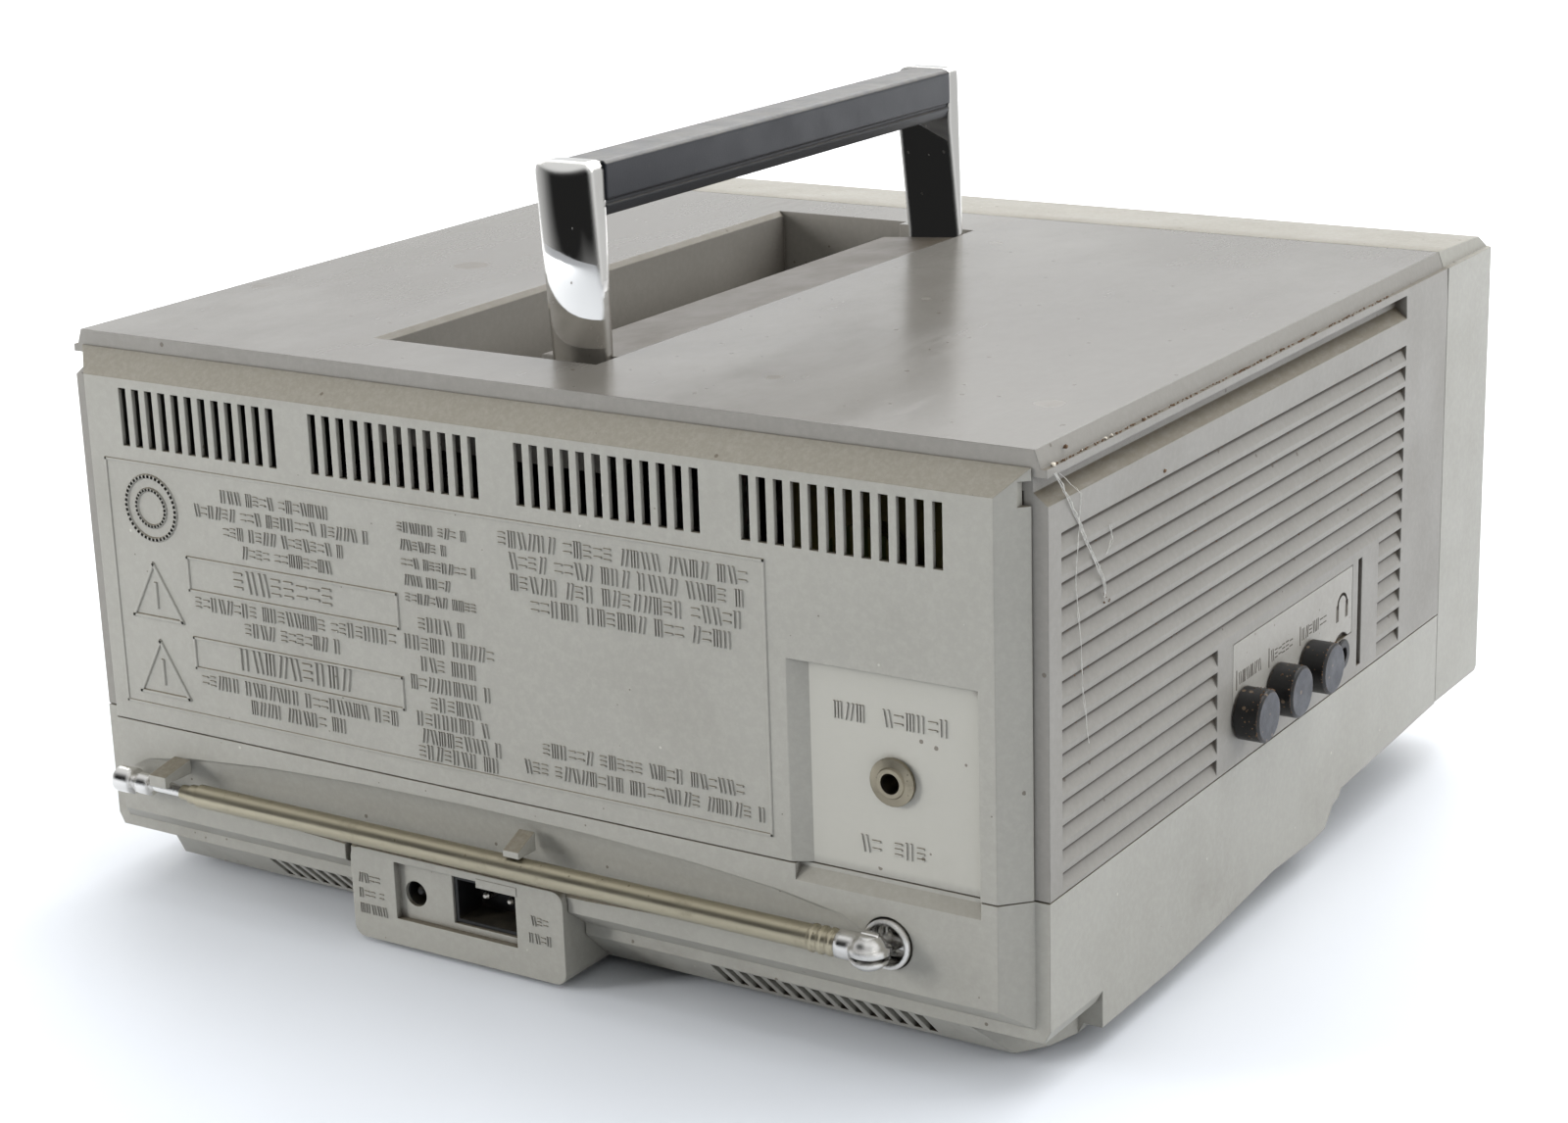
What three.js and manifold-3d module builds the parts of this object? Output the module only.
// A portable television set with a folding carrying handle and a telescopic aerial.
// Millimetres, +Z up. The screen faces -Y and the rear cover faces +Y.
// While it is built, X = 0 is the middle of the cabinet, Y = 0 the middle of its depth and Z = 0 the
// surface that it stands on. At the end it is moved so that the origin is the middle of its footprint.
import * as THREE from "three";
import { mergeVertices } from "three/addons/utils/BufferGeometryUtils.js";
import Module from "manifold-3d";

const wasm = await Module();
wasm.setup();

// ---- Cabinet ----
const HALF_WIDTH = 122;
const TOP_Z = 128;
const BACK_Y = 117; // rear face of the rear cover
const RIM_Y = 111.4; // rear rim of the top shell and the base
const BEZEL_Y = -88; // seam between the shells and the front bezel
const FRONT_Y = -117;
const SEAM_Z = 39.7; // seam between the base and everything above it
const BACK_HALF_WIDTH = 113.8; // flat of the rear face, inside the corner facets
const FACET_HALF_WIDTH = 118.8;
const FACET_Y = RIM_Y + 0.3;
const WALL = 2.5;
const SEAM_GAP = 0.3;
const FIT_GAP = 0.3; // between pieces that touch

// ---- Top shell ----
const TOP_HALF_WIDTH = 119.3;
const CHAMFER_FOOT = [120.6, 124.4];
const LIP_HALF_WIDTH = 121.8;
const CHANNEL_TOP_Z = 122.8;
const CHANNEL_FOOT_Z = 117.5;
const CHANNEL_HALF_WIDTH = 119;
const CHANNEL_INNER_Z = 119.9; // the channel's floor slopes down from here to the side
const CHANNEL_FRONT_Y = -62.5;
const INNER_HALF_WIDTH = 117;
const CEILING_Z = 125.2;

// ---- Handle and its well ----
const WELL_X = [14.8, 51.6];
const WELL_Y = [-72, 90.5];
const WELL_FLOOR_Z = 107.5;
const POST_X = [-5.5, 8.9];
const PIVOT_X = (POST_X[0] + POST_X[1]) / 2;
const POST_RADIUS = (POST_X[1] - POST_X[0]) / 2;
const PIVOT_Z = TOP_Z - POST_RADIUS - 0.1;
const PIN_RADIUS = 2;
const HANDLE_TOP_Z = 169;
const POST_CROWN_RADIUS = 20; // of the posts' crowned outer faces
const POST_FACES = { rear: { footY: 86, headY: 88.8, out: 1 }, front: { footY: -66, headY: -64.6, out: -1 } };
const GRIP_BOTTOM_Z = 157.5;
const GRIP_Y = [-58.7, 82.7];
const REAR_SLOT_Y = [80.8, 90.5];
const FRONT_SLOT_Y = [-68.5, -60.8];
const SLOT_X0 = POST_X[0] - 1;
const LEDGE_DROP = 2; // the ledge slopes down to the well
const LEDGE_STEP = 0.4;

// ---- Louvres along the sides ----
const LOUVRE_ROWS = 15;
const LOUVRE_PITCH = 4.8;
const LOUVRE_HEIGHT = 3.6;
const LOUVRE_DEPTH = 1.3;
const LOUVRE_OVERHANG = 0.5;
const LOUVRE_FIRST_EDGE_Z = TOP_Z - 16.7; // lower edge of the topmost lap
const LOUVRE_REAR_Y = 106.1;
const LOUVRE_FRONT_Y = -62.6;
const CONTROL_FIELD_Y = 37.4; // the lower rows stop here, behind the side controls
const CONTROL_FIELD_FRONT_Y = -49;
const FULL_ROWS = 9;

// ---- Side controls, on the -X side ----
const KNOB_Z = 50.7;
const KNOB_Y = [25, 7.7, -9.6];
const KNOB_RADIUS = 5.75;
const KNOB_END_X = -128.3;
const LABEL_Y = [-34, 30];
const LABEL_Z = [51, 67];
const LABEL_DEPTH = 1;
const HEADPHONE_Y = -28;
const HEADPHONE_Z = 47.5;

// ---- Rear cover ----
const VENT_GROUPS_X = [103.7, 49.5, -4.6, -58.65]; // +X edge of each group
const VENT_SLOTS = 12;
const VENT_PITCH = 3.86;
const VENT_WIDTH = 2.1;
const VENT_Z = [104.5, 117.5];
const VENT_SKIN = 1; // the rear wall is thin round the vents
const PANEL_X = [-109.9, -71.9]; // recessed terminal panel
const PANEL_TOP_Z = 82;
const PANEL_DEPTH = 2;
const JACK_X = -90.6;
const JACK_Z = 60.1;

// ---- Base ----
const CHIN_Z = 17.5; // foot of the flat rear wall
const RIM_TOP_Z = 13;
const RIM_FOOT_Z = 10.4;
const TUB_FLOOR_Z = 2.6;
const RAMP_FOOT_Y = 103.6;
const TUB_FRONT_Y = -21;
const SKIRT_FOOT_X = 116.5;
const DOOR_HALF_WIDTH = 64;
const DOOR_LEDGE = 3;
const DOOR_REAR_Y = 60;
const RAMP_SLOT_PITCH = 3.45;
const RAMP_SLOT_WIDTH = 2;
const RAMP_GROUPS = [
  { firstX: -93.5, count: 15 },
  { firstX: 47, count: 9 },
];

// ---- Connector block in the rear wall ----
const BLOCK_X = [-11.7, 45.5];
const BLOCK_Z = [1, 22];
const BLOCK_FACE_Y = 118.5;
const BLOCK_INNER_Y = 102;
const DC_X = 29;
const DC_Z = 13.2;
const AC_X = [0.9, 18.8];
const AC_Z = [8.6, 19.8];
const AC_FLOOR_Y = 108.5;
const AC_PINS_X = [4.4, 10.9];
const AC_PIN_Z = 15.9;

// ---- Aerial ----
const AERIAL_Y = 121.6;
const AERIAL_Z = 27;
const SOCKET_X = -89.6;
const KNUCKLE_X = -88.4;
const KNUCKLE_Y = 122.2;
const KNUCKLE_PROFILE = [ // radius and height above the rod's axis
  [0, -3.6],
  [1.5, -3.5],
  [2.8, -2.9],
  [3.7, -2],
  [4.1, -1.2],
  [4.3, -0.4],
  [4.3, 1],
  [4.1, 1.3],
  [3.5, 1.4],
  [3.2, 2.2],
  [2.6, 2.9],
  [2.2, 3.2],
  [1.9, 3.2],
  [1.9, 3.6],
  [0, 3.6],
];
const TONGUE_Z = [AERIAL_Z - 1, AERIAL_Z - 0.2];
const SECTION_RADII = [2.6, 2.15, 1.7, 1.25];
const SECTION_WALL = 0.3;
const OUTER_SECTION_X = [-81.2, 85.5];
const TIP_X = [105.3, 110.5];
const END_CLIP_X = [92, 96.8];

// ---- Front ----
const SCREEN_CENTRE = [-41, 76];
const SCREEN_HALF = [50, 38];
const PANEL_FRONT_X = [24, 114];
const PANEL_FRONT_Z = [27, 120];
const PANEL_FACE_Y = FRONT_Y + 0.8;
const TUNING = { x: 94, z: 78, radius: 13 };
const VOLUME = { x: 44, z: 78, radius: 8 };
const BAND = { x: 68.5, z: 78 };
const POWER = { x: 40, z: 34.5 };
const SPEAKER = { x: 82, z: 46 };
const LENS_X = [30, 108];
const LENS_Z = [99, 113];

const television = new THREE.Group();

// ================= Solids =================

function solidOf(geometry) {
  const flat = geometry.index ? geometry.toNonIndexed() : geometry;
  const bare = new THREE.BufferGeometry();
  bare.setAttribute("position", flat.getAttribute("position"));
  const merged = mergeVertices(bare, 1e-4);
  const triVerts = new Uint32Array(merged.index.array);
  const vertProperties = merged.attributes.position.array;
  const solid = new wasm.Manifold(new wasm.Mesh({ numProp: 3, vertProperties, triVerts }));
  if (solid.volume() > 0) return solid;
  return new wasm.Manifold(
    new wasm.Mesh({ numProp: 3, vertProperties, triVerts: triVerts.reverse() }),
  );
}

const UNIT = {
  x: new THREE.Vector3(1, 0, 0),
  y: new THREE.Vector3(0, 1, 0),
  z: new THREE.Vector3(0, 0, 1),
};

// An outline's two numbers are (y, z) along X, (z, x) along Y and (x, y) along Z.
const SECTION_AXES = { x: ["y", "z", "x"], y: ["z", "x", "y"], z: ["x", "y", "z"] };

function prism(axis, outline, from, to) {
  const shape = new THREE.Shape(outline.map(([a, b]) => new THREE.Vector2(a, b)));
  const geometry = new THREE.ExtrudeGeometry(shape, { depth: to - from, bevelEnabled: false });
  geometry.translate(0, 0, from);
  const [a, b, c] = SECTION_AXES[axis].map((name) => UNIT[name]);
  geometry.applyMatrix4(new THREE.Matrix4().makeBasis(a, b, c));
  return solidOf(geometry);
}

// The same for a section drawn across the cabinet, as (x, z) points.
function crossSection(outline, from, to) {
  return prism("y", outline.map(([x, z]) => [z, x]), from, to);
}

function box([x0, x1], [y0, y1], [z0, z1]) {
  const geometry = new THREE.BoxGeometry(x1 - x0, y1 - y0, z1 - z0);
  geometry.translate((x0 + x1) / 2, (y0 + y1) / 2, (z0 + z1) / 2);
  return solidOf(geometry);
}

function arc([a, b], radius, fromDeg, toDeg, steps) {
  return Array.from({ length: steps + 1 }, (_, i) => {
    const angle = THREE.MathUtils.degToRad(fromDeg + ((toDeg - fromDeg) * i) / steps);
    return [a + radius * Math.cos(angle), b + radius * Math.sin(angle)];
  });
}

// centre is (y, z) along X, (z, x) along Y and (x, y) along Z.
function cylinder(axis, centre, radius, from, to, sides = 24) {
  return prism(axis, arc(centre, radius, 0, 360 - 360 / sides, sides - 1), from, to);
}

function roundedRectangle([a0, a1], [b0, b1], radius, steps = 4) {
  return [
    ...arc([a1 - radius, b1 - radius], radius, 0, 90, steps),
    ...arc([a0 + radius, b1 - radius], radius, 90, 180, steps),
    ...arc([a0 + radius, b0 + radius], radius, 180, 270, steps),
    ...arc([a1 - radius, b0 + radius], radius, 270, 360, steps),
  ];
}

// A solid of revolution. The profile is (radius, place along the axis) and starts and ends at radius 0.
function turned(axis, centre, profile, sides = 24) {
  const points = profile.map(([radius, along]) => new THREE.Vector2(radius, along));
  const geometry = new THREE.LatheGeometry(points, sides);
  geometry.rotateX(Math.PI / 2);
  const [a, b, c] = SECTION_AXES[axis].map((name) => UNIT[name]);
  const place = a.clone().multiplyScalar(centre[0]).addScaledVector(b, centre[1]);
  geometry.applyMatrix4(new THREE.Matrix4().makeBasis(a, b, c).setPosition(place));
  return solidOf(geometry);
}

// A skin through rounded rectangles that lie one behind the other along Y.
function lofted(centre, rings, steps = 4) {
  const outlines = rings.map(({ y, half, radius }) =>
    roundedRectangle([-half[0], half[0]], [-half[1], half[1]], radius, steps).map(
      ([x, z]) => new THREE.Vector3(centre[0] + x, y, centre[1] + z),
    ),
  );
  const middles = rings.map(({ y }) => new THREE.Vector3(centre[0], y, centre[1]));
  const count = outlines[0].length;
  const corners = [];
  for (let i = 0; i < count; i += 1) {
    const next = (i + 1) % count;
    corners.push(middles[0], outlines[0][next], outlines[0][i]);
    for (let ring = 0; ring + 1 < outlines.length; ring += 1) {
      const here = outlines[ring];
      const there = outlines[ring + 1];
      corners.push(here[i], here[next], there[next], here[i], there[next], there[i]);
    }
    corners.push(middles.at(-1), outlines.at(-1)[i], outlines.at(-1)[next]);
  }
  return solidOf(new THREE.BufferGeometry().setFromPoints(corners));
}

function joined(...solids) {
  return solids.reduce((sum, solid) => sum.add(solid));
}

function cut(solid, ...tools) {
  return tools.reduce((left, tool) => left.subtract(tool), solid);
}

function bothSides(make) {
  return joined(make(1), make(-1));
}

// ================= Materials =================

function material(color, roughness, metalness = 0) {
  return new THREE.MeshStandardMaterial({ color, roughness, metalness });
}

const greyPlastic = material(0x97968f, 0.45);
const greyPlasticGloss = material(0xa5a39e, 0.22);
const darkPlastic = material(0x1e1e1e, 0.5);
const gripPlastic = material(0x3c3e44, 0.4);
const labelPlastic = material(0xa8a7a2, 0.6);
const chrome = material(0xd8d8d8, 0.08, 1);
const champagneMetal = material(0xaaa591, 0.25, 1);
const steel = material(0x9a9a98, 0.35, 1);
const copper = material(0xa5603a, 0.4, 1);
const rubber = material(0x242424, 0.9);
const tubeGlass = material(0x2e3434, 0.08);
const clearLens = material(0x8e9a9e, 0.1);
const boardGreen = material(0x5b6b3c, 0.6);
const ferrite = material(0x33302d, 0.7);
const lampRed = material(0x8c1b17, 0.3);

function add(name, solid, look) {
  const { vertProperties, triVerts } = solid.getMesh();
  const geometry = new THREE.BufferGeometry();
  geometry.setAttribute("position", new THREE.BufferAttribute(vertProperties, 3));
  geometry.setIndex(new THREE.BufferAttribute(triVerts, 1));
  geometry.computeVertexNormals();
  const mesh = new THREE.Mesh(geometry, look);
  mesh.name = name;
  television.add(mesh);
}

// ================= Top shell =================

// One notch of the lap boarding: an undercut below the lap's edge, then a face that slopes out.
function louvre(side, row, fromY, toY) {
  const head = LOUVRE_FIRST_EDGE_Z - LOUVRE_PITCH * row;
  const foot = head - LOUVRE_HEIGHT;
  const outside = HALF_WIDTH + 1;
  const notch = [
    [side * outside, head],
    [side * (HALF_WIDTH - LOUVRE_DEPTH), head],
    [side * (HALF_WIDTH - LOUVRE_DEPTH), head - LOUVRE_OVERHANG],
    [side * HALF_WIDTH, foot],
    [side * outside, foot],
  ];
  return crossSection(notch, fromY, toY);
}

function sideLouvres(side) {
  const rows = [];
  for (let row = 0; row < LOUVRE_ROWS; row += 1) {
    if (row < FULL_ROWS || side > 0) {
      rows.push(louvre(side, row, LOUVRE_FRONT_Y, LOUVRE_REAR_Y));
      continue;
    }
    rows.push(louvre(side, row, CONTROL_FIELD_Y, LOUVRE_REAR_Y));
    rows.push(louvre(side, row, LOUVRE_FRONT_Y, CONTROL_FIELD_FRONT_Y));
  }
  return joined(...rows);
}

function shellOutline() {
  const right = [
    [HALF_WIDTH, SEAM_Z + SEAM_GAP / 2],
    [HALF_WIDTH, CHANNEL_FOOT_Z],
    [LIP_HALF_WIDTH, CHAMFER_FOOT[1]],
    CHAMFER_FOOT,
    [TOP_HALF_WIDTH, TOP_Z],
  ];
  const left = right.map(([x, z]) => [-x, z]).reverse();
  return [...right, ...left];
}

// The well, the two slots that the posts turn in, and the shallow ledge between them.
function handleRecess(grow, floorZ, topZ) {
  const deep = [floorZ, topZ];
  const wider = ([low, high]) => [low - grow, high + grow];
  return joined(
    box(wider(WELL_X), wider(WELL_Y), deep),
    box(wider([SLOT_X0, WELL_X[0] + 1]), wider(REAR_SLOT_Y), deep),
    box(wider([SLOT_X0, WELL_X[0] + 1]), wider(FRONT_SLOT_Y), deep),
  );
}

function knobHoles(radius) {
  const holes = KNOB_Y.map((y) => cylinder("x", [y, KNOB_Z], radius, -HALF_WIDTH - 1, -110));
  return joined(...holes);
}

function topShell() {
  const rear = RIM_Y - SEAM_GAP / 2;
  const front = BEZEL_Y + SEAM_GAP / 2;
  const channel = (side) =>
    crossSection(
      [
        [side * CHANNEL_HALF_WIDTH, CHANNEL_INNER_Z],
        [side * HALF_WIDTH, CHANNEL_FOOT_Z],
        [side * (HALF_WIDTH + 1), CHANNEL_FOOT_Z],
        [side * (HALF_WIDTH + 1), CHANNEL_TOP_Z],
        [side * CHANNEL_HALF_WIDTH, CHANNEL_TOP_Z],
      ],
      CHANNEL_FRONT_Y,
      BACK_Y,
    );
  const hollow = box(
    [-INNER_HALF_WIDTH, INNER_HALF_WIDTH],
    [front - 1, rear + 1],
    [SEAM_Z - 1, CEILING_Z],
  );
  const rearRib = box([-INNER_HALF_WIDTH - 1, INNER_HALF_WIDTH + 1], [rear - 3, rear], [120, CEILING_Z + 1]);
  const ledge = crossSection(
    [
      [SLOT_X0, TOP_Z - LEDGE_STEP],
      [WELL_X[0] + 1, TOP_Z - LEDGE_DROP],
      [WELL_X[0] + 1, TOP_Z + 1],
      [SLOT_X0, TOP_Z + 1],
    ],
    FRONT_SLOT_Y[1] - 1,
    REAR_SLOT_Y[0] + 1,
  );
  const softEdge = crossSection(
    [
      [WELL_X[1] - 1, TOP_Z + 1],
      [WELL_X[1] - 1, TOP_Z - 1.2],
      [WELL_X[1], TOP_Z - 1.2],
      [WELL_X[1] + 1.2, TOP_Z],
      [WELL_X[1] + 1.2, TOP_Z + 1],
    ],
    WELL_Y[0],
    WELL_Y[1],
  );
  const bores = [REAR_SLOT_Y, FRONT_SLOT_Y].map(([y0, y1]) =>
    cylinder("y", [PIVOT_Z, PIVOT_X], PIN_RADIUS + FIT_GAP, y0 - 1.6, y1 + 1.6),
  );
  const labelRecess = box([-HALF_WIDTH - 1, -HALF_WIDTH + LABEL_DEPTH], LABEL_Y, LABEL_Z);
  const shutterSlot = box([-HALF_WIDTH - 1, -HALF_WIDTH + 1.8], [-39.5, -37.2], [42, 67.3]);
  const jackHole = cylinder("x", [HEADPHONE_Y, HEADPHONE_Z], 3.1, -HALF_WIDTH - 1, -110);
  return cut(
    joined(
      crossSection(shellOutline(), front, rear).subtract(hollow),
      handleRecess(2, WELL_FLOOR_Z - 2, TOP_Z - 1),
      rearRib,
    ),
    handleRecess(0, WELL_FLOOR_Z, TOP_Z + 1),
    bothSides(channel),
    bothSides(sideLouvres),
    ledge,
    softEdge,
    ...bores,
    labelRecess,
    shutterSlot,
    jackHole,
    knobHoles(3.1),
  );
}

// ================= Handle =================

// A long round bar whose surface is a post's crowned outer face.
function postCrown({ footY, headY, out }) {
  const lean = Math.atan2(headY - footY, HANDLE_TOP_Z - 2 - TOP_Z);
  const bar = new THREE.CylinderGeometry(POST_CROWN_RADIUS, POST_CROWN_RADIUS, 200, 96);
  bar.rotateX(Math.PI / 2 - lean);
  bar.translate(PIVOT_X, footY - (out * POST_CROWN_RADIUS) / Math.cos(lean), TOP_Z);
  return solidOf(bar);
}

function handlePost(side) {
  const outline = [
    ...arc([PIVOT_Z, PIVOT_X], POST_RADIUS, 90, 270, 12),
    ...arc([HANDLE_TOP_Z - 2, POST_X[0] + 2], 2, 270, 360, 3),
    ...arc([HANDLE_TOP_Z - 3, POST_X[1] - 3], 3, 0, 90, 4),
  ];
  const profiles = {
    rear: [
      [83, WELL_FLOOR_Z],
      [85.9, WELL_FLOOR_Z],
      [86, TOP_Z],
      [88.8, HANDLE_TOP_Z - 2],
      [87.2, HANDLE_TOP_Z],
      [83, HANDLE_TOP_Z],
    ],
    front: [
      [-63, WELL_FLOOR_Z],
      [-63, TOP_Z],
      [-59, GRIP_BOTTOM_Z - 2],
      [-59, HANDLE_TOP_Z],
      [-63, HANDLE_TOP_Z],
      [-64.6, HANDLE_TOP_Z - 2],
      [-66, TOP_Z],
      [-66, WELL_FLOOR_Z],
    ],
  };
  const ys = profiles[side].map(([y]) => y);
  const blank = prism("y", outline, Math.min(...ys), Math.max(...ys));
  const shaped = blank.intersect(prism("x", profiles[side], POST_X[0] - 1, POST_X[1] + 1));
  const bore = cylinder("y", [PIVOT_Z, PIVOT_X], PIN_RADIUS + FIT_GAP, -100, 100);
  return shaped.intersect(postCrown(POST_FACES[side])).subtract(bore);
}

function handlePin([y0, y1]) {
  return cylinder("y", [PIVOT_Z, PIVOT_X], PIN_RADIUS, y0 - 1.3, y1 + 1.3);
}

function handleGrip() {
  const outline = [
    [GRIP_BOTTOM_Z, POST_X[0] + 0.6],
    [GRIP_BOTTOM_Z, POST_X[1] - 0.6],
    [GRIP_BOTTOM_Z + 2, POST_X[1]],
    ...arc([HANDLE_TOP_Z - 5.2, POST_X[1] - 5], 5, 90, 0, 5),
    [HANDLE_TOP_Z - 0.2, POST_X[0] + 0.5],
    [HANDLE_TOP_Z - 0.9, POST_X[0] - 0.3],
    [GRIP_BOTTOM_Z + 3.4, POST_X[0] - 0.3],
    [GRIP_BOTTOM_Z + 3.2, POST_X[0] + 0.4],
    [GRIP_BOTTOM_Z + 2.4, POST_X[0] + 0.4],
    [GRIP_BOTTOM_Z + 2.2, POST_X[0] - 0.1],
  ];
  return prism("y", outline, GRIP_Y[0], GRIP_Y[1]);
}

// ================= Rear cover =================

// A shallow tray: corner facets in plan, and a chamfer along the top edge.
function tray(inset, frontY, floorZ) {
  const back = BACK_Y - inset;
  const plan = [
    [-FACET_HALF_WIDTH + inset, frontY],
    [FACET_HALF_WIDTH - inset, frontY],
    [FACET_HALF_WIDTH - inset, FACET_Y],
    [BACK_HALF_WIDTH - inset / 2, back],
    [-BACK_HALF_WIDTH + inset / 2, back],
    [-FACET_HALF_WIDTH + inset, FACET_Y],
  ];
  const side = [
    [frontY, floorZ],
    [back, floorZ],
    [back, 119.6 - inset / 2],
    [FACET_Y, 124.6 - inset],
    [frontY, 124.6 - inset],
  ];
  return prism("z", plan, floorZ, TOP_Z).intersect(prism("x", side, -HALF_WIDTH, HALF_WIDTH));
}

function ventSlots() {
  const slots = [];
  for (const edge of VENT_GROUPS_X) {
    for (let i = 0; i < VENT_SLOTS; i += 1) {
      const x = edge - i * VENT_PITCH;
      slots.push(box([x - VENT_WIDTH, x], [RIM_Y - 1, BACK_Y + 1], VENT_Z));
    }
    const pocketX = [edge - VENT_SLOTS * VENT_PITCH, edge + VENT_PITCH - VENT_WIDTH];
    const pocketZ = [VENT_Z[0] - 1, VENT_Z[1] + 1];
    slots.push(box(pocketX, [BACK_Y - WALL - 1, BACK_Y - VENT_SKIN], pocketZ));
  }
  return joined(...slots);
}

// The terminal panel's recess has a bevel on its +X side and runs down through the seam.
function panelRecess() {
  const floor = BACK_Y - PANEL_DEPTH;
  const plan = [
    [PANEL_X[0] - 0.4, BACK_Y + 1],
    [PANEL_X[0], floor],
    [PANEL_X[1], floor],
    [PANEL_X[1] + 4, BACK_Y],
    [PANEL_X[1] + 4, BACK_Y + 1],
  ];
  return prism("z", plan, SEAM_Z - 1, PANEL_TOP_Z);
}

function rearCover() {
  const floorZ = SEAM_Z + SEAM_GAP / 2;
  const frontY = RIM_Y + SEAM_GAP / 2;
  const notch = (side) => {
    const xs = [side * 116.9, side * 120].sort((a, b) => a - b);
    return box(xs, [RIM_Y - 1, BACK_Y], [117.4, 122.2]);
  };
  const panelPad = box([-112, -68], [BACK_Y - 4.6, BACK_Y - 2], [SEAM_Z + SEAM_GAP / 2, 86]);
  return cut(
    joined(
      tray(0, frontY, floorZ).subtract(tray(WALL, frontY - 1, floorZ + WALL)),
      panelPad,
    ),
    ventSlots(),
    panelRecess(),
    bothSides(notch),
    cylinder("y", [JACK_Z, JACK_X], 3.6, RIM_Y - 1, BACK_Y + 1),
  );
}

function aerialJack() {
  const face = BACK_Y - PANEL_DEPTH + FIT_GAP;
  const profile = [
    [0, 104],
    [3.2, 104],
    [3.2, face],
    [4.9, face],
    [4.9, face + 0.8],
    [3.2, face + 1.2],
    [3, face + 1.6],
    [2.1, face + 1.6],
    [2, 106.5],
    [0, 106.5],
  ];
  return turned("y", [JACK_Z, JACK_X], profile);
}

// ================= Base =================

function baseSide(inset) {
  return [
    [BEZEL_Y + SEAM_GAP / 2, SEAM_Z - SEAM_GAP / 2],
    [BACK_Y - inset, SEAM_Z - SEAM_GAP / 2],
    [BACK_Y - inset, CHIN_Z + inset / 2],
    [RIM_Y - inset, RIM_TOP_Z + inset / 2],
    [RIM_Y - inset, RIM_FOOT_Z + inset / 2],
    [RAMP_FOOT_Y - inset / 2, TUB_FLOOR_Z + inset],
    [TUB_FRONT_Y + inset / 2, TUB_FLOOR_Z + inset],
    [-30 + inset / 2, 14.7 + inset],
    [BEZEL_Y + SEAM_GAP / 2, 17 + inset],
  ];
}

function footRail(side) {
  const outline = [
    [89.5, 13],
    [89.5, 5],
    [57, 5],
    [32, 6.3],
    [7, 8.2],
    [-14, 7.5],
    [-21, 8],
    [-28, 15],
    [-28, 20],
    [89.5, 20],
  ];
  const xs = [side * 114, side * HALF_WIDTH].sort((a, b) => a - b);
  return prism("x", outline, xs[0], xs[1]);
}

function rampSlots() {
  const slots = [];
  for (const { firstX, count } of RAMP_GROUPS) {
    for (let i = 0; i < count; i += 1) {
      const x = firstX + i * RAMP_SLOT_PITCH;
      slots.push(box([x, x + RAMP_SLOT_WIDTH], [98, RIM_Y + 1], [4, 10]));
    }
  }
  return joined(...slots);
}

// The long shallow hollow behind the aerial, deepest at its middle.
function aerialTrough() {
  const geometry = new THREE.SphereGeometry(1, 20, 10);
  geometry.scale(97, 2.6, 8);
  geometry.translate(13, BACK_Y, 28.5);
  return solidOf(geometry);
}

function doorWay() {
  const low = box(
    [-DOOR_HALF_WIDTH - FIT_GAP, DOOR_HALF_WIDTH + FIT_GAP],
    [-40, DOOR_REAR_Y],
    [0, 4],
  );
  const high = box(
    [-DOOR_HALF_WIDTH - DOOR_LEDGE, DOOR_HALF_WIDTH + DOOR_LEDGE],
    [-40, DOOR_REAR_Y],
    [3.7, 6.5],
  );
  return low.add(high);
}

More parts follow.
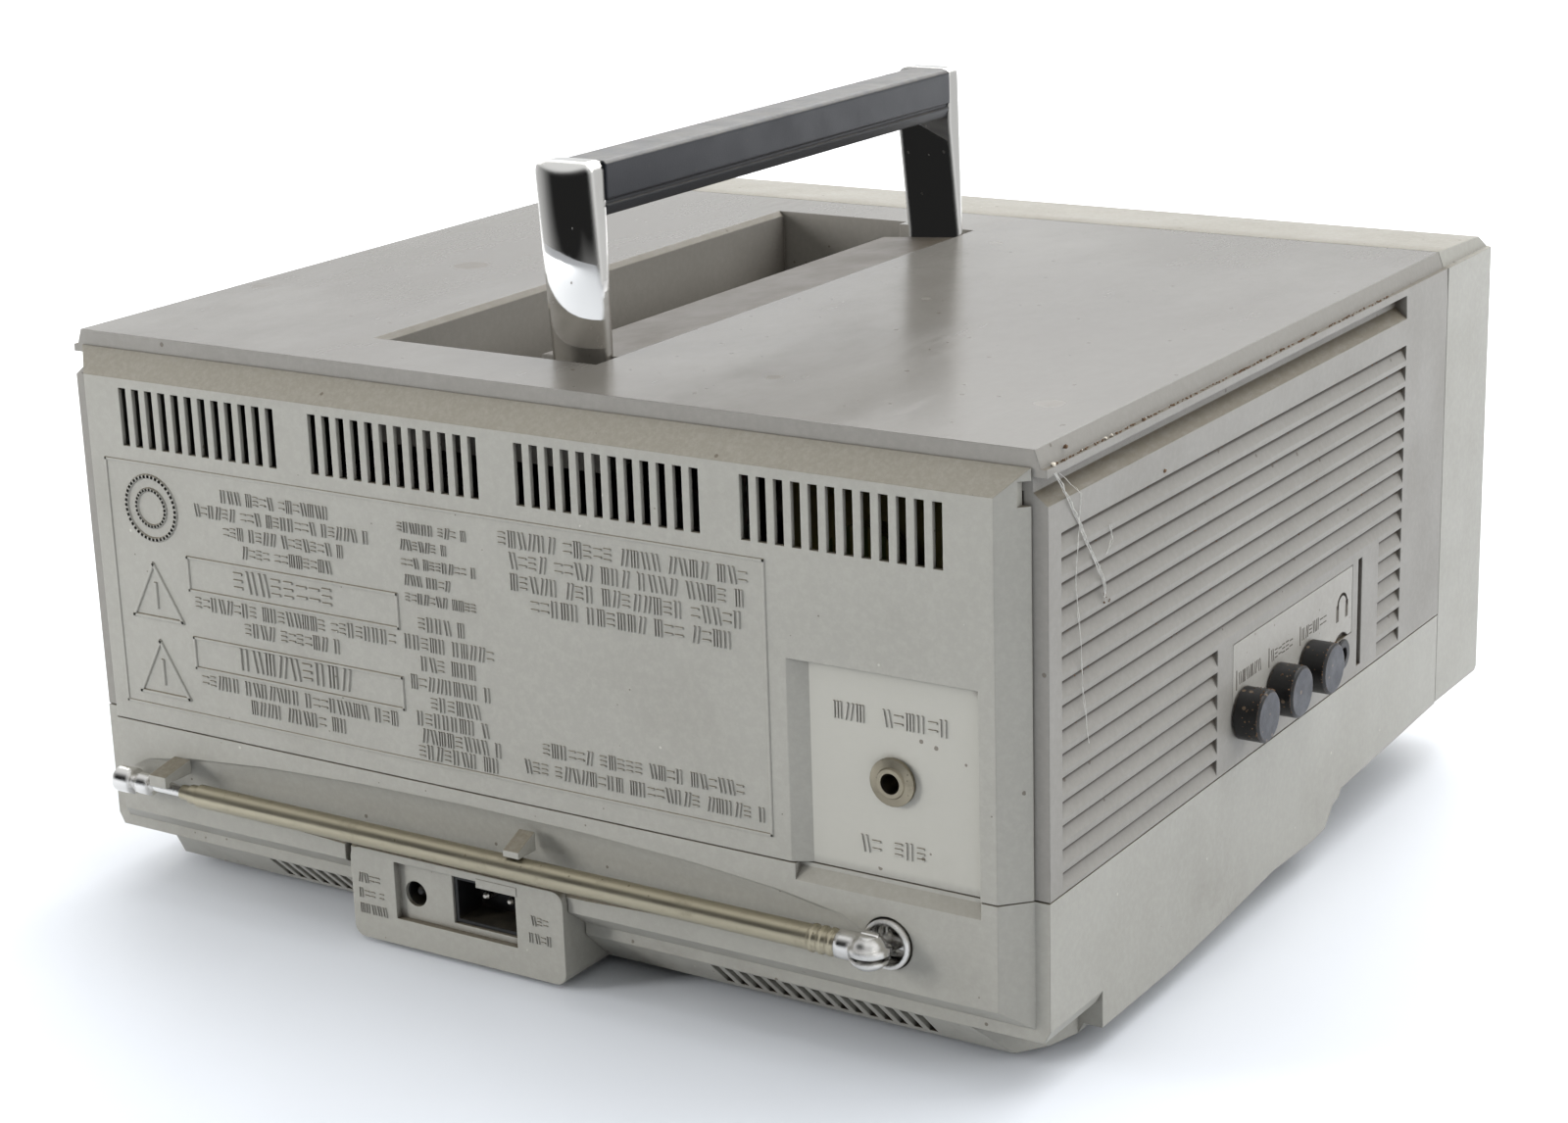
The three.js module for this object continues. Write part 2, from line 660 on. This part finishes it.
function baseShell() {
  const plan = [
    [-HALF_WIDTH, BEZEL_Y + SEAM_GAP / 2],
    [HALF_WIDTH, BEZEL_Y + SEAM_GAP / 2],
    [HALF_WIDTH, RIM_Y],
    [FACET_HALF_WIDTH, RIM_Y],
    [BACK_HALF_WIDTH, BACK_Y],
    [-BACK_HALF_WIDTH, BACK_Y],
    [-FACET_HALF_WIDTH, RIM_Y],
    [-HALF_WIDTH, RIM_Y],
  ];
  const skirt = (side) =>
    crossSection(
      [
        [side * (HALF_WIDTH + 1), RIM_TOP_Z],
        [side * HALF_WIDTH, RIM_TOP_Z],
        [side * SKIRT_FOOT_X, TUB_FLOOR_Z],
        [side * SKIRT_FOOT_X, 0],
        [side * (HALF_WIDTH + 1), 0],
      ],
      BEZEL_Y,
      BACK_Y,
    );
  const rearCorner = (side) =>
    prism(
      "z",
      [
        [side * 104, 112],
        [side * 114.4, 97],
        [side * SKIRT_FOOT_X, 89.5],
        [side * (HALF_WIDTH + 1), 89.5],
        [side * (HALF_WIDTH + 1), 112],
      ],
      0,
      RIM_FOOT_Z,
    );
  const outer = prism("x", baseSide(0), -HALF_WIDTH, HALF_WIDTH)
    .intersect(prism("z", plan, 0, TOP_Z))
    .subtract(bothSides(skirt))
    .subtract(bothSides(rearCorner));
  const lowerHollow = prism("x", baseSide(WALL), -103, 103);
  const upperHollow = box([-119.2, 119.2], [BEZEL_Y - 1, 108.5], [20, SEAM_Z + 1]);
  const middleHollow = box([-103, 103], [108, 111.4], [20, SEAM_Z + 1]);
  const mouth = box([-119.2, 119.2], [BEZEL_Y - 1, 108.5], [SEAM_Z - 1, SEAM_Z + 1]);
  const rearWall = box([-103.5, 103.5], [111.4, BACK_Y - 0.5], [CHIN_Z + 1.6, SEAM_Z - SEAM_GAP / 2]);
  const sill = prism(
    "x",
    [
      [BACK_Y - PANEL_DEPTH, SEAM_Z + 1],
      [BACK_Y - PANEL_DEPTH, SEAM_Z - 1],
      [BACK_Y + 0.1, SEAM_Z - 3.7],
      [BACK_Y + 1, SEAM_Z + 1],
    ],
    PANEL_X[0] - 0.4,
    PANEL_X[1] + 3.2,
  );
  const blockHole = crossSection(
    roundedRectangle(
      [BLOCK_X[0] - FIT_GAP, BLOCK_X[1] + FIT_GAP],
      [-3, BLOCK_Z[1] + FIT_GAP],
      3,
    ),
    95,
    BACK_Y + 1,
  );
  const pryGap = box([46.5, 48.2], [112, BACK_Y + 1], [17, 22]);
  const frontWay = box([-119.2, 119.2], [BEZEL_Y - 1, BEZEL_Y + 4], [19.6, SEAM_Z + 1]);
  return cut(
    joined(cut(outer, lowerHollow).add(rearWall), bothSides(footRail)),
    upperHollow,
    middleHollow,
    mouth,
    frontWay,
    rampSlots(),
    aerialTrough(),
    doorWay(),
    sill,
    blockHole,
    pryGap,
    cylinder("y", [AERIAL_Z, SOCKET_X], 5.5, 100, BACK_Y + 1),
  );
}

function batteryDoor() {
  const front = TUB_FRONT_Y + 1;
  const plate = box(
    [-DOOR_HALF_WIDTH, DOOR_HALF_WIDTH],
    [front, DOOR_REAR_Y - FIT_GAP],
    [TUB_FLOOR_Z + 0.1, 4.5],
  );
  const tongues = box(
    [-DOOR_HALF_WIDTH - DOOR_LEDGE + 0.4, DOOR_HALF_WIDTH + DOOR_LEDGE - 0.4],
    [front, DOOR_REAR_Y - FIT_GAP],
    [4.3, 6],
  );
  const ribs = [];
  for (let i = 0; i < 7; i += 1) {
    ribs.push(box([-22, 22], [-12 + i * 3, -10.6 + i * 3], [0, TUB_FLOOR_Z + 0.7]));
  }
  return cut(plate.add(tongues), ...ribs);
}

function footPad(x, y, topZ) {
  const pad = roundedRectangle([x - 7, x + 7], [y - 10, y + 10], 3, 3);
  return prism("z", pad, 0, topZ);
}

// ================= Connector block =================

function connectorBlock() {
  const outline = roundedRectangle(BLOCK_X, BLOCK_Z, 2.6);
  const face = prism("y", outline.map(([x, z]) => [z, x]), BLOCK_INNER_Y, BLOCK_FACE_Y);
  const recess = box([0.7, 33.4], [BLOCK_FACE_Y - 1.6, BLOCK_FACE_Y + 1], [7.2, 20.3]);
  const acWell = box(
    [AC_X[0] - 0.1, AC_X[1]],
    [AC_FLOOR_Y - 2.5, BLOCK_FACE_Y + 1],
    [AC_Z[0], AC_Z[1]],
  );
  const dcHole = cylinder("y", [DC_Z, DC_X], 4.3, BLOCK_INNER_Y - 1, BLOCK_FACE_Y - 2.6);
  const dcMouth = cylinder("y", [DC_Z, DC_X], 2.9, BLOCK_INNER_Y - 1, BLOCK_FACE_Y + 1);
  const tab = box([0.3, 11], [BLOCK_FACE_Y - 1.5, BLOCK_FACE_Y + 0.1], [18.9, 20.9]);
  return joined(cut(face, recess, acWell, dcHole, dcMouth), tab);
}

function acInlet() {
  const floor = AC_FLOOR_Y - 2.2;
  const outer = box(
    [AC_X[0] + FIT_GAP, AC_X[1] - FIT_GAP],
    [floor, BLOCK_FACE_Y - 2],
    [AC_Z[0] + FIT_GAP, AC_Z[1] - FIT_GAP],
  );
  const inner = box(
    [AC_X[0] + 1.1, AC_X[1] - 1.1],
    [AC_FLOOR_Y, BLOCK_FACE_Y],
    [AC_Z[0] + 1.1, AC_Z[1] - 1.1],
  );
  const pinHoles = AC_PINS_X.map((x) => cylinder("y", [AC_PIN_Z, x], 1.15, floor - 1, BACK_Y, 16));
  return cut(outer, inner, ...pinHoles);
}

function acPin(x) {
  const profile = [
    [0, AC_FLOOR_Y - 2.1],
    [0.85, AC_FLOOR_Y - 2.1],
    [0.85, 115.4],
    [0.4, 116],
    [0, 116],
  ];
  return turned("y", [AC_PIN_Z, x], profile, 16);
}

function dcJack() {
  const profile = [
    [0, BLOCK_INNER_Y + 0.5],
    [4, BLOCK_INNER_Y + 0.5],
    [4, BLOCK_FACE_Y - 2.9],
    [2.9, BLOCK_FACE_Y - 2.9],
    [2.9, BLOCK_INNER_Y + 3],
    [1, BLOCK_INNER_Y + 3],
    [1, BLOCK_FACE_Y - 3.4],
    [0.6, BLOCK_FACE_Y - 2.9],
    [0, BLOCK_FACE_Y - 2.9],
  ];
  return turned("y", [DC_Z, DC_X], profile);
}

// ================= Aerial =================

// A cup set in the wall. The swivel's stem turns in the hole in its floor.
function aerialSocket() {
  const profile = [
    [0, BACK_Y - 6],
    [5.2, BACK_Y - 6],
    [5.2, BACK_Y + 1.1],
    [4.8, BACK_Y + 1.5],
    [4.3, BACK_Y + 1.3],
    [4.2, BACK_Y - 4],
    [0, BACK_Y - 4],
  ];
  const bore = cylinder("y", [AERIAL_Z, SOCKET_X], 2, 100, BACK_Y + 3);
  return turned("y", [AERIAL_Z, SOCKET_X], profile).subtract(bore);
}

// A stem in the socket's floor, and a tongue that the knuckle's fork straddles.
function aerialSwivel() {
  const stem = cylinder("y", [AERIAL_Z, SOCKET_X], 1.7, 108, BACK_Y - 3);
  const disc = cylinder("y", [AERIAL_Z, SOCKET_X], 3.8, BACK_Y - 3.7, BACK_Y - 2.4);
  const tongue = prism("z", [
    [SOCKET_X - 2.4, BACK_Y - 3],
    [SOCKET_X + 2.8, BACK_Y - 3],
    ...arc([KNUCKLE_X, KNUCKLE_Y], 2.7, -30, 210, 16),
  ], ...TONGUE_Z);
  const bore = cylinder("z", [KNUCKLE_X, KNUCKLE_Y], 1.5, 0, 50, 16);
  return joined(stem, disc, tongue).subtract(bore);
}

// The fork: a domed barrel that bulges away from the wall, slotted for the tongue, with a pin through it,
// a screw head on top and a sleeve for the rod.
function aerialKnuckle() {
  const centre = [KNUCKLE_X, KNUCKLE_Y];
  const profile = KNUCKLE_PROFILE.map(([radius, height]) => [radius, AERIAL_Z + height]);
  const rodEnd = OUTER_SECTION_X[0] - FIT_GAP;
  const sleeve = cylinder("x", [AERIAL_Y, AERIAL_Z], 2.9, KNUCKLE_X + 2, rodEnd, 32);
  const gapZ = [TONGUE_Z[0] - 0.2, TONGUE_Z[1] + 0.2];
  const gap = box([KNUCKLE_X - 8, KNUCKLE_X + 3.1], [110, 130], gapZ);
  const pin = cylinder("z", centre, 1.2, AERIAL_Z - 2, AERIAL_Z + 1, 16);
  const screwSlot = box(
    [KNUCKLE_X - 4, KNUCKLE_X + 4],
    [KNUCKLE_Y - 0.3, KNUCKLE_Y + 0.3],
    [AERIAL_Z + 3.2, AERIAL_Z + 4],
  );
  const barrel = turned("z", centre, profile, 40);
  return joined(barrel.add(sleeve).subtract(gap), pin).subtract(screwSlot);
}

function aerialSection(index) {
  const centre = [AERIAL_Y, AERIAL_Z];
  const radius = SECTION_RADII[index];
  const from = OUTER_SECTION_X[0] + index * 2.2;
  const to = OUTER_SECTION_X[1] + index * 2.6;
  const tube = cylinder("x", centre, radius, from, to, 20);
  const bore = cylinder("x", centre, radius - SECTION_WALL, from + 1.5, to + 1, 20);
  return tube.subtract(bore);
}

// The outer section, with three crimps rolled into its root.
function crimpedSection() {
  const radius = SECTION_RADII[0];
  const [from, to] = OUTER_SECTION_X;
  const crimps = [0.8, 2.9, 5].flatMap((offset) => [
    [radius, from + offset],
    [radius + 0.3, from + offset + 0.3],
    [radius + 0.3, from + offset + 0.8],
    [radius, from + offset + 1.1],
  ]);
  const profile = [
    [0, from],
    [radius, from],
    ...crimps,
    [radius, to],
    [radius - SECTION_WALL, to],
    [radius - SECTION_WALL, from + 1.5],
    [0, from + 1.5],
  ];
  return turned("x", [AERIAL_Y, AERIAL_Z], profile, 20);
}

function aerialTip() {
  const inner = SECTION_RADII[3];
  const profile = [
    [0, OUTER_SECTION_X[0] + 8],
    [inner, OUTER_SECTION_X[0] + 8],
    [inner, TIP_X[0] - 5.4],
    [2.5, TIP_X[0] - 5.2],
    [2.5, TIP_X[0] - 1.6],
    [1.6, TIP_X[0] - 1.4],
    [1.6, TIP_X[0] - 0.2],
    [3, TIP_X[0]],
    [3, TIP_X[1] - 0.8],
    [2.2, TIP_X[1]],
    [0, TIP_X[1]],
  ];
  return turned("x", [AERIAL_Y, AERIAL_Z], profile, 20);
}

// The end clip reaches over the aerial's neck with a short lip in front of it.
function endClip() {
  const outline = [
    [BACK_Y + 0.3, 29.8],
    [124.3, 29.8],
    [124.3, 28.8],
    [125.6, 28.8],
    [125.6, 31.4],
    [BACK_Y + 0.3, 33],
  ];
  return prism("x", outline, ...END_CLIP_X);
}

function middleClip() {
  const outline = [
    [BACK_Y + 0.3, 30],
    [123.2, 30],
    [123.2, 31.4],
    [BACK_Y + 0.3, 34],
  ];
  return prism("x", outline, -4.6, -0.6);
}

// ================= Side controls =================

function labelStrip() {
  const plate = box(
    [-HALF_WIDTH, -HALF_WIDTH + LABEL_DEPTH - FIT_GAP],
    [LABEL_Y[0] + 0.2, LABEL_Y[1] - 0.2],
    [LABEL_Z[0] + 0.2, LABEL_Z[1] - 0.2],
  );
  const clear = KNOB_Y.map((y) => cylinder("x", [y, KNOB_Z], 3.6, -130, -110));
  const jackClear = cylinder("x", [HEADPHONE_Y, HEADPHONE_Z], 5.2, -130, -110);
  return cut(plate, ...clear, jackClear);
}

function sideKnob(y) {
  const profile = [
    [0, KNOB_END_X],
    [KNOB_RADIUS - 0.5, KNOB_END_X],
    [KNOB_RADIUS, KNOB_END_X + 0.5],
    [KNOB_RADIUS, -HALF_WIDTH - 0.5],
    [2.6, -HALF_WIDTH - 0.5],
    [2.6, -113],
    [0, -113],
  ];
  return turned("x", [y, KNOB_Z], profile);
}

function sideControlBoard() {
  const pots = KNOB_Y.map((y) => box([-112.7, -104], [y - 6.5, y + 6.5], [KNOB_Z - 7, KNOB_Z + 7]));
  const board = box([-104.2, -102.6], [-22, 40], [42, 64]);
  return joined(board, ...pots);
}

function headphoneJack() {
  const profile = [
    [0, -108],
    [2.8, -108],
    [2.8, -HALF_WIDTH - 0.3],
    [3.6, -HALF_WIDTH - 0.3],
    [3.6, -HALF_WIDTH - 0.6],
    [3.3, -HALF_WIDTH - 0.8],
    [1.8, -HALF_WIDTH - 0.8],
    [1.8, -110],
    [0, -110],
  ];
  return turned("x", [HEADPHONE_Y, HEADPHONE_Z], profile);
}

// ================= Front =================

function frontBezel() {
  const side = [
    [BEZEL_Y - SEAM_GAP / 2, 17.3],
    [BEZEL_Y - SEAM_GAP / 2, TOP_Z],
    [-113.6, TOP_Z - 0.8],
    [FRONT_Y, TOP_Z - 3.8],
    [FRONT_Y, 19.3],
    [FRONT_Y + 2, 17.3],
  ];
  const plan = [
    [-HALF_WIDTH, BEZEL_Y],
    [HALF_WIDTH, BEZEL_Y],
    [HALF_WIDTH, FRONT_Y + 1],
    [HALF_WIDTH - 1, FRONT_Y],
    [-HALF_WIDTH + 1, FRONT_Y],
    [-HALF_WIDTH, FRONT_Y + 1],
  ];
  const outer = prism("x", side, -HALF_WIDTH, HALF_WIDTH).intersect(prism("z", plan, 0, TOP_Z));
  const hollow = box([-119.4, 119.4], [FRONT_Y + WALL, BEZEL_Y + 1], [19.9, CEILING_Z - 0.6]);
  const topCorners = (edge) =>
    crossSection(
      [
        [edge * TOP_HALF_WIDTH, TOP_Z + 1],
        [edge * TOP_HALF_WIDTH, TOP_Z],
        [edge * CHAMFER_FOOT[0], CHAMFER_FOOT[1]],
        [edge * HALF_WIDTH, CHAMFER_FOOT[1]],
        [edge * (HALF_WIDTH + 1), TOP_Z + 1],
      ],
      FRONT_Y - 1,
      BEZEL_Y,
    );
  const [cx, cz] = SCREEN_CENTRE;
  const [hx, hz] = SCREEN_HALF;
  const throat = box([cx - hx - 8, cx + hx + 8], [FRONT_Y + 1, -107.6], [cz - hz - 8, cz + hz + 8]);
  const funnel = lofted(SCREEN_CENTRE, [
    { y: FRONT_Y - 0.1, half: [hx + 6, hz + 6], radius: 12 },
    { y: -108, half: [hx, hz], radius: 9 },
    { y: -100, half: [hx, hz], radius: 9 },
  ]);
  const panelHole = crossSection(
    roundedRectangle(PANEL_FRONT_X, PANEL_FRONT_Z, 3),
    FRONT_Y - 1,
    FRONT_Y + 5,
  );
  return cut(
    joined(outer.subtract(hollow), throat),
    funnel,
    panelHole,
    bothSides(topCorners),
  );
}

function controlPanel() {
  const outline = roundedRectangle(
    [PANEL_FRONT_X[0] + FIT_GAP, PANEL_FRONT_X[1] - FIT_GAP],
    [PANEL_FRONT_Z[0] + FIT_GAP, PANEL_FRONT_Z[1] - FIT_GAP],
    2.7,
  );
  const grille = [];
  for (let i = 0; i < 11; i += 1) {
    const x = 57 + i * 4.6;
    grille.push(box([x, x + 2.4], [FRONT_Y - 1, -110], [32, 58]));
  }
  return cut(
    crossSection(outline, PANEL_FACE_Y, PANEL_FACE_Y + 2.2),
    ...grille,
    box(LENS_X, [FRONT_Y - 1, -110], LENS_Z),
    cylinder("y", [TUNING.z, TUNING.x], 4, FRONT_Y - 1, -110),
    cylinder("y", [VOLUME.z, VOLUME.x], 3.4, FRONT_Y - 1, -110),
    box([BAND.x - 2, BAND.x + 2], [FRONT_Y - 1, -110], [BAND.z - 9, BAND.z + 9]),
    box([POWER.x - 7, POWER.x + 7], [FRONT_Y - 1, -110], [POWER.z - 4, POWER.z + 4]),
    cylinder("y", [45, POWER.x], 2, FRONT_Y - 1, -110, 16),
  );
}

function dialLens() {
  return box(
    [LENS_X[0] + FIT_GAP, LENS_X[1] - FIT_GAP],
    [PANEL_FACE_Y + 0.3, PANEL_FACE_Y + 1.5],
    [LENS_Z[0] + FIT_GAP, LENS_Z[1] - FIT_GAP],
  );
}

function dialScale() {
  return box([LENS_X[0] - 1, LENS_X[1] + 1], [-113.6, -112.6], [LENS_Z[0] - 2, LENS_Z[1] + 2]);
}

function frontKnob({ x, z, radius }, height, shaft) {
  const root = PANEL_FACE_Y - 0.4;
  const profile = [
    [0, root - height],
    [radius * 0.8, root - height],
    [radius * 0.93, root - height + 0.9],
    [radius, root],
    [shaft, root],
    [shaft, -104],
    [0, -104],
  ];
  const body = turned("y", [z, x], profile, 32);
  const pointer = box([x - 0.6, x + 0.6], [root - height - 1, root - height + 0.6], [z + 2, z + radius]);
  return body.subtract(pointer);
}

function bandSwitch() {
  const cap = box(
    [BAND.x - 3.4, BAND.x + 3.4],
    [PANEL_FACE_Y - 3.6, PANEL_FACE_Y - 0.4],
    [BAND.z + 2.2, BAND.z + 9.4],
  );
  const stem = box([BAND.x - 1.6, BAND.x + 1.6], [PANEL_FACE_Y - 1, -107], [BAND.z + 4, BAND.z + 7.6]);
  return cap.add(stem);
}

function powerButton() {
  const face = roundedRectangle([POWER.x - 6.6, POWER.x + 6.6], [POWER.z - 3.6, POWER.z + 3.6], 1, 2);
  const cap = crossSection(face, PANEL_FACE_Y - 2.6, -108);
  return cap;
}

function powerLamp() {
  return turned("y", [45, POWER.x], [
    [0, PANEL_FACE_Y - 0.8],
    [1.2, PANEL_FACE_Y - 0.5],
    [1.7, PANEL_FACE_Y + 0.4],
    [1.7, -109],
    [0, -109],
  ], 16);
}

// ================= Inside =================

function pictureTube() {
  return lofted(SCREEN_CENTRE, [
    { y: -108.6, half: [26, 20], radius: 12 },
    { y: -107.4, half: [44, 33], radius: 12 },
    { y: -105.6, half: [52.4, 40.4], radius: 12 },
    { y: -92, half: [53.4, 41.4], radius: 12 },
    { y: -84, half: [50, 39], radius: 14 },
    { y: -52, half: [24, 21], radius: 15 },
    { y: -38, half: [11.5, 11.5], radius: 11.4 },
    { y: 28, half: [11, 11], radius: 10.9 },
    { y: 34, half: [8, 8], radius: 7.9 },
  ]);
}

function deflectionYoke() {
  const [cx, cz] = SCREEN_CENTRE;
  const profile = [
    [13, -12],
    [21, -12],
    [21, -18],
    [18, -19],
    [19, -28],
    [26, -36],
    [26, -38.2],
    [13, -36],
    [13, -12],
  ];
  return turned("y", [cz, cx], profile, 24);
}

function neckBoard() {
  const [cx, cz] = SCREEN_CENTRE;
  const board = box([cx - 24, cx + 24], [36.6, 38.2], [cz - 22, cz + 22]);
  const socket = cylinder("y", [cz, cx], 10, 34.6, 44, 20);
  return board.add(socket);
}

function mainBoard() {
  const board = box([-98, 98], [-70, 52], [21.2, 22.8]);
  const posts = [
    [-84, -50],
    [84, -50],
    [-84, 30],
    [84, 30],
  ].map(([x, y]) => box([x - 8, x + 8], [y - 7, y + 7], [22.6, 34]));
  return joined(board, ...posts);
}

function speakerBasket() {
  const profile = [
    [0, -95],
    [11, -95],
    [19, -107.6],
    [24, -108.4],
    [24, -110.4],
    [19, -110.4],
    [10, -97],
    [0, -97],
  ];
  return turned("y", [SPEAKER.z, SPEAKER.x], profile, 24);
}

// ================= Assembly =================

add("top_shell", topShell(), greyPlasticGloss);
add("rear_cover", rearCover(), greyPlastic);
add("base_shell", baseShell(), greyPlastic);
add("front_bezel", frontBezel(), greyPlastic);
add("battery_door", batteryDoor(), greyPlastic);
add("connector_block", connectorBlock(), greyPlastic);
add("ac_inlet", acInlet(), darkPlastic);
AC_PINS_X.forEach((x, i) => add(`ac_pin_${i + 1}`, acPin(x), steel));
add("dc_jack", dcJack(), darkPlastic);
add("aerial_jack", aerialJack(), steel);

add("foot_pad_rear_left", footPad(92, 78, TUB_FLOOR_Z - FIT_GAP), rubber);
add("foot_pad_rear_right", footPad(-92, 78, TUB_FLOOR_Z - FIT_GAP), rubber);
add("foot_front_left", footPad(80, -68, 14.6), rubber);
add("foot_front_right", footPad(-80, -68, 14.6), rubber);

add("handle_post_rear", handlePost("rear"), chrome);
add("handle_post_front", handlePost("front"), chrome);
add("handle_grip", handleGrip(), gripPlastic);
add("handle_pin_rear", handlePin(REAR_SLOT_Y), steel);
add("handle_pin_front", handlePin(FRONT_SLOT_Y), steel);

add("aerial_socket", aerialSocket(), chrome);
add("aerial_swivel", aerialSwivel(), chrome);
add("aerial_knuckle", aerialKnuckle(), chrome);
add("aerial_section_1", crimpedSection(), champagneMetal);
add("aerial_section_2", aerialSection(1), champagneMetal);
add("aerial_section_3", aerialSection(2), champagneMetal);
add("aerial_tip", aerialTip(), chrome);
add("aerial_clip_end", endClip(), greyPlastic);
add("aerial_clip_middle", middleClip(), greyPlastic);

add("side_label_strip", labelStrip(), labelPlastic);
KNOB_Y.forEach((y, i) => add(`side_knob_${i + 1}`, sideKnob(y), darkPlastic));
add("side_control_board", sideControlBoard(), boardGreen);
add("headphone_jack", headphoneJack(), darkPlastic);

add("control_panel", controlPanel(), darkPlastic);
add("dial_lens", dialLens(), clearLens);
add("dial_scale", dialScale(), labelPlastic);
add("tuning_knob", frontKnob(TUNING, 9, 3.6), greyPlastic);
add("volume_knob", frontKnob(VOLUME, 7, 3), greyPlastic);
add("band_switch", bandSwitch(), greyPlastic);
add("power_button", powerButton(), greyPlastic);
add("power_lamp", powerLamp(), lampRed);

add("picture_tube", pictureTube(), tubeGlass);
add("deflection_yoke", deflectionYoke(), copper);
add("neck_board", neckBoard(), boardGreen);
add("main_board", mainBoard(), boardGreen);
add("power_transformer", box([62, 98], [50.5, 92], [48, 88]), steel);
add("flyback_transformer", box([60, 88], [-10, 22], [36, 72]), ferrite);
add("tuner_can", box([62, 104], [-66, -24], [38, 60]), steel);
add("speaker_basket", speakerBasket(), steel);
add("speaker_magnet", cylinder("y", [SPEAKER.z, SPEAKER.x], 11, -94.6, -84), ferrite);

// The origin goes to the middle of the footprint.
const bounds = new THREE.Box3().setFromObject(television);
const middle = bounds.getCenter(new THREE.Vector3());
television.position.set(-middle.x, -middle.y, -bounds.min.z);

const object = new THREE.Group();
object.add(television);

export default object;
